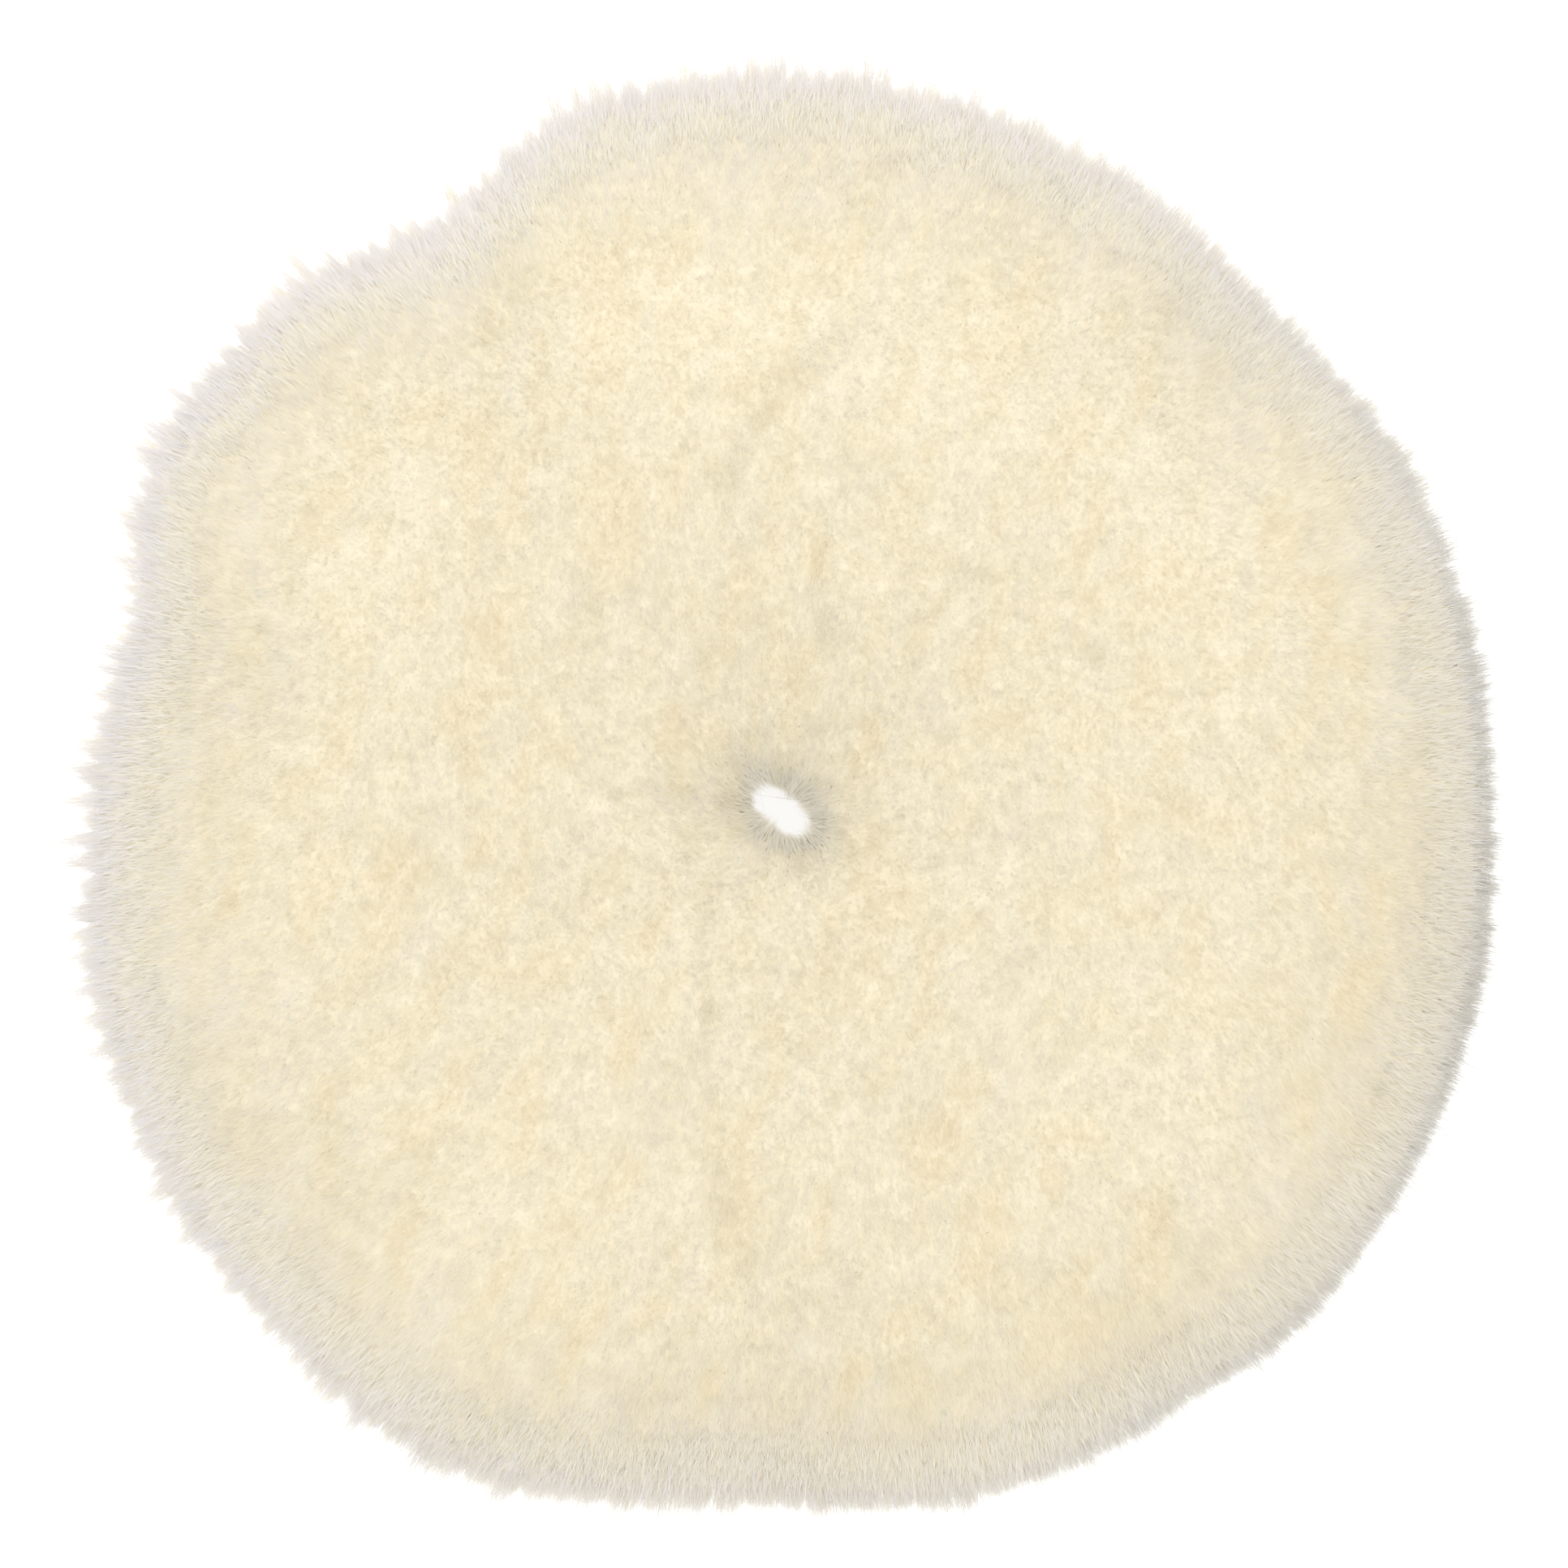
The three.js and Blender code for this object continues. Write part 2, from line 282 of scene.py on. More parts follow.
def outline(angle):
    """How far the tufts reach from the hole's axis at each angle."""
    turn = np.degrees(angle) % 360
    after = np.searchsorted(outline_at, turn, "right")
    low, start = outline_reach[after - 1], outline_at[after - 1]
    after = np.minimum(after, len(outline_at) - 1)
    share = ease(0, 1, (turn - start) / np.maximum(outline_at[after] - start, 1e-9))
    return (low + (outline_reach[after] - low) * share) * MM


def nap_place(x, y):
    """Where a point of the nap, spread out flat, lies in space, with the outward normal there."""
    spread = np.hypot(x, y)
    angle = np.arctan2(y, x)
    radius = np.interp(spread, nap_spread, nap_line[:, 0])
    height = np.interp(spread, nap_spread, nap_line[:, 1])
    out_r = -np.interp(spread, nap_spread, nap_along[:, 1])
    out_z = np.interp(spread, nap_spread, nap_along[:, 0])
    tuft_ends = 0.4 * MM
    stretch = outline(angle) - WOOL_REACH - tuft_ends
    radius = radius + stretch * ease(35 * MM, 84 * MM, radius)
    turned = angle - SLIT_ANGLE
    slit = 1 / np.hypot(np.cos(turned) / SLIT_LONG, np.sin(turned) / SLIT_WIDE)
    section_slit = NAP_SECTION[LIP_POINT - 1, 0]
    radius = radius + (slit - section_slit) * (1 - ease(4 * MM, 11 * MM, radius))
    scale = 1 / np.hypot(out_r, out_z)
    place = np.stack([*polar(radius, angle), height], axis=-1)
    normal = np.stack([*polar(out_r, angle), out_z], axis=-1)
    return place, normal * scale[..., None]


def parting_depth(x, y):
    """How far the partings sink the nap at each point."""
    depth = np.zeros(x.shape)
    width, sway, bends = 1.9 * MM, 1.5 * MM, 6 * MM
    x = x + sway * smooth_noise(x, y, bends, 61)
    y = y + sway * smooth_noise(x, y, bends, 67)
    for points, deep in PARTINGS:
        points = np.array(points) * MM
        for (ax, ay), (bx, by) in zip(points[:-1], points[1:]):
            run = np.array([bx - ax, by - ay])
            share = np.clip(((x - ax) * run[0] + (y - ay) * run[1]) / (run @ run), 0, 1)
            dx, dy = x - ax - share * run[0], y - ay - share * run[1]
            away = np.hypot(dx, dy)
            depth = np.maximum(depth, deep * MM * np.exp(-(away / width) ** 2))
    return depth


def streaks(x, y, width, length, seed):
    """Noise drawn out along the way the nap lies, a little off the vertical, and wavy."""
    lie, sway, bends = math.radians(74), 1.6 * MM, 9 * MM
    wavy_x = x + sway * smooth_noise(x, y, bends, seed + 1)
    wavy_y = y + sway * smooth_noise(x, y, bends, seed + 2)
    along = wavy_x * math.cos(lie) + wavy_y * math.sin(lie)
    across = wavy_y * math.cos(lie) - wavy_x * math.sin(lie)
    return smooth_noise(across / width, along / length, 1, seed)


def valleys_and_crests(x, y):
    """The nap's uneven tufts, from -1 in the low valleys to 1 on the crests: as colour, painted
    shade in the valleys and painted light on the crests.
    """
    coarse = streaks(x, y, 3 * MM, 7.5 * MM, 71)
    fine = streaks(x, y, 1.3 * MM, 4 * MM, 74)
    return 0.65 * coarse + 0.35 * fine


def relief(x, y):
    """How far the nap's uneven lie lifts or sinks its surface."""
    broad = 0.1 * smooth_noise(x, y, 19 * MM, 3)
    middling = 0.05 * smooth_noise(x, y, 8 * MM, 7)
    return (broad + middling + 0.05 * valleys_and_crests(x, y)) * MM - parting_depth(x, y)


def nap_lean(x, y):
    """Which way the tips lean, and how far, over the nap spread out flat."""
    spread = np.maximum(np.hypot(x, y), 1e-6)
    rim = ease(52 * MM, 90 * MM, spread)
    near = np.exp(-(spread / (20 * MM)) ** 2)
    left = ease(20 * MM, -50 * MM, x) * ease(20 * MM, -40 * MM, y)
    wide, small = 17 * MM, 6 * MM
    lean_x = 0.5 * smooth_noise(x, y, wide, 11) + 0.25 * smooth_noise(x, y, small, 13)
    lean_y = 0.5 * smooth_noise(x, y, wide, 17) + 0.25 * smooth_noise(x, y, small, 19)
    lean_x = (lean_x - 0.6 * left) * (1 - near) * MM
    lean_y = (lean_y - (1 - rim)) * (1 - near) * MM
    out = (2 * rim - 1.2 * near) * MM
    return lean_x + out * x / spread, lean_y + out * y / spread


# ---------------------------------------------------------------- mesh helpers

def mesh_piece(name, points, faces, u, v, material, node):
    """A smooth-shaded mesh object that rides on the pad and stands for a CAD node. u and v lay
    out each face's corners for the baked colour."""
    mesh = bpy.data.meshes.new(name)
    mesh.vertices.add(len(points))
    mesh.vertices.foreach_set("co", np.ascontiguousarray(points, np.float32).ravel())
    mesh.loops.add(faces.size)
    mesh.loops.foreach_set("vertex_index", np.ascontiguousarray(faces, np.int32).ravel())
    mesh.polygons.add(len(faces))
    starts = np.arange(0, faces.size, faces.shape[1], dtype=np.int32)
    mesh.polygons.foreach_set("loop_start", starts)
    mesh.polygons.foreach_set("use_smooth", np.ones(len(faces), bool))
    mesh.update(calc_edges=True)
    margin = 0.02
    uv = margin + (1 - 2 * margin) * np.stack([np.ravel(u), np.ravel(v)], axis=-1)
    mesh.uv_layers.new(name="OFBake").data.foreach_set("uv", uv.astype(np.float32).ravel())
    mesh.materials.append(material)
    piece = bpy.data.objects.new(name, mesh)
    bpy.context.scene.collection.objects.link(piece)
    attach(piece, "root")
    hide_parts(node)
    return piece


def ring_piece(name, outlines, material, node):
    """A closed body through outlines of equal count, one for each step round a closed ring. Each
    outline runs anticlockwise as seen with the way round pointing away from the eye."""
    turns, count = outlines.shape[:2]
    turn, i = np.meshgrid(np.arange(turns), np.arange(count), indexing="ij")
    here, ahead = turn * count, (turn + 1) % turns * count
    j = (i + 1) % count
    faces = np.stack([here + i, ahead + i, ahead + j, here + j], axis=-1).reshape(-1, 4)
    u = np.stack([turn, turn + 1, turn + 1, turn], axis=-1) / turns
    v = np.stack([i, i, i + 1, i + 1], axis=-1) / count
    return mesh_piece(name, outlines.reshape(-1, 3), faces, u, v, material, node)


def ribbons(name, line, side, half, tone, material, node):
    """Thin ribbons along lines of points, tapered by half and each with its own tone."""
    count, steps = line.shape[:2]
    points = np.empty((count, 2 * steps, 3))
    points[:, 0::2] = line - side * half[..., None]
    points[:, 1::2] = line + side * half[..., None]
    quads = np.array([(2 * k, 2 * k + 1, 2 * k + 3, 2 * k + 2) for k in range(steps - 1)])
    faces = (np.arange(count)[:, None, None] * (2 * steps) + quads[None]).reshape(-1, 4)
    along = np.repeat(np.linspace(0, 1, steps), 2)
    u = np.tile(along[quads].ravel(), count)
    v = np.repeat(tone, quads.size)
    return mesh_piece(name, points.reshape(-1, 3), faces, u, v, material, node)


def round_ring(section, turns):
    """A (radius, height) section repeated round the Z axis: radius, height and angle arrays."""
    angles = np.arange(turns) * TURN / turns
    radius = np.repeat(section[None, :, 0], turns, axis=0)
    height = np.repeat(section[None, :, 1], turns, axis=0)
    return radius, height, np.repeat(angles[:, None], section.shape[0], axis=1)


def spin(radius, height, angles):
    """Points in space from radii, heights and angles round the Z axis."""
    return np.stack([*polar(radius, angles), height], axis=-1)


def edge_share(radius, inner, outer, inner_width, outer_width):
    """1 at a ring's outer edge and -1 at its inner edge, fading to 0 over the two widths."""
    return ease(outer - outer_width, outer, radius) - 1 + ease(inner, inner + inner_width, radius)


def finer(section, step):
    """The same closed section with its long sides divided, so that no side is over step."""
    out = []
    for a, b in zip(section, np.roll(section, -1, axis=0)):
        parts = max(1, int(np.ceil(np.linalg.norm(b - a) / step)))
        out += [a + (b - a) * k / parts for k in range(parts)]
    return np.array(out)


def surface(name, roughness, specular=0.3):
    """A new material with its nodes, links and shader."""
    material = bpy.data.materials.new(name)
    material.use_nodes = True
    nodes, links = material.node_tree.nodes, material.node_tree.links
    shader = nodes["Principled BSDF"]
    put(shader, {"Roughness": roughness, "Specular IOR Level": specular})
    return material, nodes, links, shader


def pattern(nodes, links, kind, values):
    """A texture node of a kind, fixed to the object."""
    where = nodes.new("ShaderNodeTexCoord")
    texture = nodes.new(kind)
    put(texture, values)
    links.new(where.outputs["Object"], texture.inputs["Vector"])
    return texture


def noise_node(nodes, links, scale, detail):
    """Noise in lumps of about 1 / scale metres."""
    return pattern(nodes, links, "ShaderNodeTexNoise", {"Scale": scale, "Detail": detail})


def pit_node(nodes, links, scale):
    """Rounded cells about 1 / scale metres across."""
    return pattern(nodes, links, "ShaderNodeTexVoronoi", {"Scale": scale})


def laid_out(nodes, links):
    """The outputs X and Y of a piece's layout: along each fibre or loop, and its own tone."""
    where = nodes.new("ShaderNodeUVMap")
    where.uv_map = "OFBake"
    split = nodes.new("ShaderNodeSeparateXYZ")
    links.new(where.outputs[0], split.inputs[0])
    return split.outputs


def colour_ramp(nodes, links, source, stops):
    """A colour for each value of the source, given as (place, colour) stops."""
    ramp = nodes.new("ShaderNodeValToRGB")
    elements = ramp.color_ramp.elements
    (elements[0].position, first), (elements[-1].position, last) = stops[0], stops[-1]
    elements[0].color, elements[-1].color = (*first, 1), (*last, 1)
    for place, colour in stops[1:-1]:
        elements.new(place).color = (*colour, 1)
    links.new(source, ramp.inputs[0])
    return ramp


def paint(nodes, links, shader, source, stops):
    """The surface's colour, from a ramp over the source."""
    links.new(colour_ramp(nodes, links, source, stops).outputs[0], shader.inputs["Base Color"])


def bumpy(nodes, links, shader, source, strength, distance):
    """Fine relief from the source; distance is its depth in metres."""
    bump = nodes.new("ShaderNodeBump")
    put(bump, {"Strength": strength, "Distance": distance})
    links.new(source, bump.inputs["Height"])
    links.new(bump.outputs[0], shader.inputs["Normal"])


# ---------------------------------------------------------------- wool

# The clumps that fibres gather into, as (size, seed).
LOCKS, TUFTS, SPIKES = (4.6 * MM, 23), (1.2 * MM, 29), (3.2 * MM, 37)


def nap_zones(x, y):
    """Each root's distance from the hole, its shares of the rim and the fringe, and how shaggy it
    is, which also stands for how far it faces the light, for the fringe's painted backlight and
    painted shade.
    """
    spread = np.hypot(x, y)
    shag_and_light = 0.65 + 0.35 * np.cos(np.arctan2(y, x) - SHAG_AND_LIGHT_ANGLE)
    return spread, ease(74 * MM, 100 * MM, spread), ease(92 * MM, 102 * MM, spread), shag_and_light


def at_lip(spread, width):
    """1 at the lip of the slit, fading away over the width on both sides."""
    return np.exp(-((spread - LIP_SPREAD) / width) ** 2)


def lock_dip(lock_far):
    """How far the nap sinks at a distance from the middle of its lock."""
    return 0.1 * MM * (lock_far / (3 * MM)) ** 2


def fibre_ends(x, y, zones, clumped, rng):
    """Where the tips lie on the nap spread out flat: leaning, curled and gathered into clumps."""
    spread, rim, fringe, shag_and_light = zones
    locks, tufts, spikes = clumped
    gather_lock = 0.05 + 0.25 * rim * shag_and_light
    gather_tuft = 0.08 + 0.15 * rim * shag_and_light
    gather_spike = 0.85 * fringe * shag_and_light
    loose = (0.9 - 0.65 * fringe * shag_and_light) * MM
    curl = 0.15 * (1 - fringe) * (1 - 0.6 * np.exp(-(spread / (9 * MM)) ** 2)) * MM
    ends = []
    for axis, (start, lean) in enumerate(zip((x, y), nap_lean(x, y))):
        end = start + lean + curl * smooth_noise(x, y, 2.4 * MM, 91 + 2 * axis)
        end = end + gather_lock * (locks[axis] - start) + gather_tuft * (tufts[axis] - start)
        ends.append(end + gather_spike * (spikes[axis] - end) + loose * rng.normal(size=len(x)))
    far = np.maximum(np.hypot(*ends) / (SPREAD_END * 1.02), 1)
    return ends[0] / far, ends[1] / far


def fibre_lift(x, y, zones, clumped, stray, rng):
    """How far the tips stand out of the nap: most in the fringe's spikes, and in a few wisps."""
    _, _, fringe, shag_and_light = zones
    (_, _, lock, lock_far), (_, _, tuft, _), (_, _, spike, _) = clumped
    count = len(x)
    lift = relief(x, y) + (0.05 * (lock - 0.5) + 0.06 * (tuft - 0.5)) * MM - lock_dip(lock_far)
    lift = lift + rng.normal(0, 0.12 * MM, count)
    lift = lift + fringe * shag_and_light * (1.2 * lock ** 2 + 1.2 * tuft ** 2) * MM
    lift = lift + fringe * shag_and_light * 6.5 * spike ** 2 * rng.random(count) ** 0.5 * MM
    wisp = rng.random(count) < 0.05
    return lift + wisp * rng.random(count) * stray


def fibre_lines(root, bend, tip, steps):
    """Centre lines from root to tip, drawn towards the bend and kept above the floor."""
    line = np.empty((len(root), steps, 3))
    for k, t in enumerate(np.linspace(0, 1, steps)):
        line[:, k] = (1 - t) ** 2 * root + 2 * t * (1 - t) * bend + t ** 2 * tip
    line[..., 2] = np.maximum(line[..., 2], 0.35 * MM)
    return line


def fibre_sides(along, facing, rng):
    """The way across each ribbon: square to the fibre, facing outwards but for a random turn."""
    side = unit(np.cross(along, facing)) + rng.normal(size=along.shape) * 0.35
    side = unit(side - along * np.sum(side * along, axis=1)[:, None])
    return side * np.sign(np.sum(np.cross(side, along) * facing, axis=1))[:, None]


def tapered(line, side, half):
    """The points of the ribbons, two at each step and one at the tip."""
    count, steps = line.shape[:2]
    points = np.empty((count, 2 * steps - 1, 3))
    for k, taper in enumerate(np.linspace(1, 0.55, steps - 1)):
        points[:, 2 * k] = line[:, k] - side * (half * taper)[:, None]
        points[:, 2 * k + 1] = line[:, k] + side * (half * taper)[:, None]
    points[:, -1] = line[:, -1]
    return points


def tapered_faces(steps):
    """The triangles of one such ribbon."""
    faces = []
    for k in range(0, 2 * steps - 4, 2):
        faces += [(k, k + 1, k + 3), (k, k + 3, k + 2)]
    faces.append((2 * steps - 4, 2 * steps - 3, 2 * steps - 2))
    return np.array(faces)


def fibre_shade(y, zones, ribbon, out):
    """The normals that shade the fibres: mostly the nap's own, turned up where light gets in."""
    spread, _, fringe, shag_and_light = zones
    flat_share = (0.12 + 0.45 * fringe)[:, None]
    shade = flat_share * ribbon + (1 - flat_share) * out
    up_share = (0.5 + 0.4 * (y / spread) ** 2) * ease(62 * MM, 84 * MM, spread)
    up_share = up_share - 1.4 * (1 - shag_and_light) * ease(90 * MM, 98 * MM, spread)
    shade[:, 2] += 1.8 * at_lip(spread, 5 * MM) + up_share
    return unit(shade)


def fibre_tones(x, y, zones, rng):
    """Each fibre's place in WOOL_TONES, with painted shade and light: warm in the valleys and pale
    on the crests of the face, pale as painted backlight or olive as painted shade in the fringe by
    side, and pale as painted light round the slit's lip.
    """
    spread, _, _, shag_and_light = zones
    count = len(x)
    # Painted light: the fringe turns pale, sooner on the side towards the light and less under the
    # skirt, as backlight through thin wool, and the slit's lip turns pale against the dimple's
    # shade.
    pale = ease((77 - 8 * shag_and_light) * MM, (97 - 3 * shag_and_light) * MM, spread)
    pale = pale * (1 - 0.55 * ease(101 * MM, 109 * MM, spread)) + 0.45 * at_lip(spread, 5 * MM)
    # Painted shade and light: the tone follows the nap's valleys and crests, warm peach low and
    # pale cream high.
    tone = 0.5 + 0.4 * valleys_and_crests(x, y) + 0.06 * smooth_noise(x, y, 12 * MM, 83)
    tone = tone + 0.03 * rng.normal(size=count)
    tone = np.clip(tone, 0.15, 0.85) * (1 - pale) + pale * (0.85 + 0.15 * rng.random(count))
    # Painted shade: on the side away from the light, fringe fibres take the olive grey.
    olive = rng.random(count) < pale * (1.1 - shag_and_light)
    return np.where(olive, 0.02, tone)


def fibres(name, x, y, length, steps, stray, material, seed):
    """Tapered ribbons that rise through the nap, lean with it and gather into clumps.
    x and y place the roots on the nap spread out flat, and stray is how far wisps stand out."""
    rng = np.random.default_rng(seed)
    count = len(x)
    zones = nap_zones(x, y)
    spread, _, fringe, _ = zones
    clumped = [clumps(x, y, *kind) for kind in (LOCKS, TUFTS, SPIKES)]
    ends = fibre_ends(x, y, zones, clumped, rng)
    lift = fibre_lift(x, y, zones, clumped, stray, rng)
    root, root_out = nap_place(x, y)
    tip, tip_out = nap_place(*ends)
    root = root - root_out * length[:, None]
    tip = tip + tip_out * lift[:, None]
    over_lip = at_lip(spread, 2.4 * MM) * (0.7 + 0.8 * clumped[-1][2] ** 2) * MM
    tip[:, :2] -= unit(tip[:, :2]) * over_lip[:, None]
    tip[:, 2] -= 3.2 * MM * ease(98 * MM, 108 * MM, spread) * rng.random(count) ** 0.5
    bend = root + root_out * (0.75 * length[:, None]) + rng.normal(0, 0.25 * MM, (count, 3))
    line = fibre_lines(root, bend, tip, steps)
    along = unit(tip - bend)
    raised = 0.7 * ease(66 * MM, 84 * MM, spread) + 0.8 * fringe
    side = fibre_sides(along, tip_out + raised[:, None] * np.array([0, 0, 1]), rng)
    half = (0.045 + 0.025 * rng.random(count)) * MM * (1 - 0.3 * fringe)
    points = tapered(line, side, half)
    ribbon = tapered_faces(steps)
    faces = (np.arange(count)[:, None, None] * points.shape[1] + ribbon).reshape(-1, 3)
    shade = fibre_shade(y, zones, np.cross(side, along), tip_out)
    tone = fibre_tones(x, y, zones, rng)
    rows = np.concatenate([np.repeat(np.linspace(0, 1, steps)[:-1], 2), [1]])
    u = np.tile(rows[ribbon].ravel(), count)
    v = np.repeat(tone, ribbon.size)
    piece = mesh_piece(name, points.reshape(-1, 3), faces, u, v, material, "wool_pile")
    normals = np.repeat(shade, points.shape[1], axis=0).astype(np.float32)
    piece.data.normals_split_custom_set_from_vertices(normals)


def wool_material():
    """Wool fibre: warmer and darker towards the root, as painted shade where roots show between
    tufts, and from peach through cream to pale at the fringe, along the painted shade and light of
    WOOL_TONES.
    """
    material, nodes, links, shader = surface("wool_fibre", 0.9, 0.15)
    layout = laid_out(nodes, links)
    tones = colour_ramp(nodes, links, layout["Y"], WOOL_TONES)
    # Painted shade: the lower part of each fibre, seen in the gaps between tufts, is painted warmer
    # and darker.
    root_painted_shade = ((0, (1, 0.968, 0.915)), (0.6, (1, 1, 1)))
    roots = colour_ramp(nodes, links, layout["X"], root_painted_shade)
    both = nodes.new("ShaderNodeMix")
    both.data_type = "RGBA"
    both.blend_type = "MULTIPLY"
    both.inputs["Factor"].default_value = 1
    links.new(tones.outputs[0], both.inputs["A"])
    links.new(roots.outputs[0], both.inputs["B"])
    links.new(both.outputs["Result"], shader.inputs["Base Color"])
    return material


def fleece_bed(inner_top):
    """The undercoat's own underside: over the rim, the flank, the seam ring and the hole's edge."""
    rim, flat, over_ring = BACKING_RADIUS, 4.9 * MM, inner_top + 0.8 * MM
    return np.array([
        (rim + 1.4 * MM, 3.2 * MM), (rim + 0.9 * MM, flat), (71.6 * MM, flat),
        (70.2 * MM, 6.2 * MM), (69.9 * MM, 8.4 * MM), (68.4 * MM, 10.4 * MM),
        (65.6 * MM, inner_top), (14.4 * MM, inner_top), (13.9 * MM, over_ring),
        (12.5 * MM, over_ring), (12 * MM, inner_top), (HOLE_RADIUS + 0.6 * MM, inner_top),
    ])


def make_fleece(material):
    """The dense undercoat below the tips: one closed, lumpy body round the hole and the skin."""
    turns, inside, lowest = 480, 1.7 * MM, 1.6 * MM
    angles = np.arange(turns) * TURN / turns
    spread = np.concatenate([np.linspace(nap_spread[0], 30 * MM, 40),
                             np.linspace(30.7 * MM, SPREAD_END, 120)])
    angle, far = np.meshgrid(angles, spread, indexing="ij")
    x, y = polar(far, angle)
    place, out = nap_place(x, y)
    lift = relief(x, y) - lock_dip(clumps(x, y, *LOCKS)[3]) - inside
    lift = lift - 0.4 * MM * ease(60 * MM, 100 * MM, far)
    skin = place + out * lift[..., None]
    skin[..., 2] = np.maximum(skin[..., 2], lowest)
    floor = spin(*round_ring(fleece_bed(HIDE_TOP + GAP), turns))
    outlines = np.concatenate([skin, floor], axis=1)[:, ::-1]
    piece = ring_piece("wool_undercoat", outlines, material, "wool_pile")


def undercoat_material():
    """Felted wool: cream, clouded and matt, painted a little darker than the fibres as shade deep
    in the nap.
    """
    material, nodes, links, shader = surface("wool_undercoat", 0.95, 0.1)
    noise = noise_node(nodes, links, 420, 5)
    # Painted shade: this cream is darker than the fibres' own, as the undercoat lies in the nap's
    # shade.
    cream = ((0.3, (0.87, 0.79, 0.6)), (0.7, (0.9, 0.84, 0.67)))
    paint(nodes, links, shader, noise.outputs[0], cream)
    bumpy(nodes, links, shader, noise.outputs[0], 0.5, 0.5 * MM)
    return material


def make_wool():
    """The nap in sectors: short upright fibres on the face, longer ones round the rim."""
    rng = np.random.default_rng(5)
    face_end, sectors = 84 * MM, 8
    face_count, rim_count, throat_count = 310000, 230000, 4000
    material = wool_material()
    make_fleece(undercoat_material())
    face = np.sqrt(rng.uniform(nap_spread[0] ** 2, face_end ** 2, face_count))
    rim = np.sqrt(rng.uniform(face_end ** 2, SPREAD_END ** 2, rim_count))
    throat = nap_spread[0] + 10 * MM * rng.random(throat_count) ** 1.5
    face = np.concatenate([face, throat])
    for spread, steps, label, stray in ((face, 3, "nap", 1.5 * MM), (rim, 4, "rim", 4 * MM)):
        angle = rng.uniform(0, TURN, len(spread))
        deep = 5.5 * MM + 3 * MM * ease(face_end, 100 * MM, spread)
        for sector in range(sectors):
            mine = np.floor(angle / TURN * sectors) == sector
            x, y = polar(spread[mine], angle[mine])
            name = f"wool_{label}_{sector + 1:02d}"
            fibres(name, x, y, deep[mine], steps, stray, material, 100 + sector)


# ---------------------------------------------------------------- skin, films and foam

def arc(radius, height, size, start, end, steps):
    """Points of an arc in the (radius, height) plane, between two angles in degrees."""
    angles = np.radians(np.linspace(start, end, steps))
    return [(radius + size * math.cos(a), height + size * math.sin(a)) for a in angles]


def hide_line():
    """The middle of the skin: flat over the foam, down its flank, and out along the rim."""
    middle = HIDE_TOP - HIDE_HALF
    turn_down = FOAM_RADIUS - FOAM_SHOULDER
    bend = FOAM_SHOULDER + middle - FOAM_TOP
    foot = 1.6 * MM
    rim = BACKING_RIM_TOP + GAP + RIM_HIDE_HALF
    flat = [(r, middle) for r in np.arange(HOLE_RADIUS + 0.05 * MM, turn_down, 1.5 * MM)]
    over = arc(turn_down, middle - bend, bend, 90, 0, 9)
    out = arc(turn_down + bend + foot, rim + foot, foot, 180, 270, 6)
    edge = [(r, rim) for r in np.linspace(turn_down + bend + foot, HIDE_RADIUS, 6)[1:]]
    return np.array(flat + over + out + edge)


def make_hide(material):
    """The skin, cut by hand and pulled into small puckers where it is drawn down round the rim."""
    line = hide_line()
    along = unit(np.gradient(line, axis=0))
    out = np.stack([-along[:, 1], along[:, 0]], axis=-1)
    at_rim = ease(FOAM_RADIUS, FOAM_RADIUS + 3 * MM, line[:, 0])
    half = HIDE_HALF + (RIM_HIDE_HALF - HIDE_HALF) * at_rim - 0.08 * MM
    section = np.concatenate([line - out * half[:, None], (line + out * half[:, None])[::-1]])
    radius, height, angles = round_ring(section, 480)
    x, y = polar(radius, angles)
    flank = ease(62 * MM, 68 * MM, radius) * (1 - ease(71 * MM, 74 * MM, radius))
    pucker = 0.1 * MM * np.sin(angles * 47 + 3 * smooth_noise(x, y, 30 * MM, 41)) * flank
    cut = 0.25 * MM * smooth_noise(x, y, 3 * MM, 43) - 0.15 * MM
    edge = edge_share(radius, HOLE_RADIUS, HIDE_RADIUS, MM, 1.5 * MM)
    radius = radius + pucker + cut * edge
    height = height + 0.05 * MM * smooth_noise(x, y, 2.2 * MM, 45)
    piece = ring_piece("sheepskin_leather", spin(radius, height, angles), material,
                       "lambskin_hide")


def leather_material():
    """The suede side of a tanned skin: cream, clouded, with a fine nap and follicle dots."""
    material, nodes, links, shader = surface("lambskin_leather", 0.86, 0.2)
    clouds = noise_node(nodes, links, 90, 6)
    cream = ((0.25, (0.66, 0.52, 0.34)), (0.5, (0.78, 0.66, 0.46)), (0.75, (0.86, 0.77, 0.58)))
    paint(nodes, links, shader, clouds.outputs[0], cream)
    grain = pit_node(nodes, links, 2600)
    bumpy(nodes, links, shader, grain.outputs["Distance"], 0.5, 0.12 * MM)
    put(shader, {"Sheen Weight": 0.3, "Sheen Roughness": 0.5})
    return material


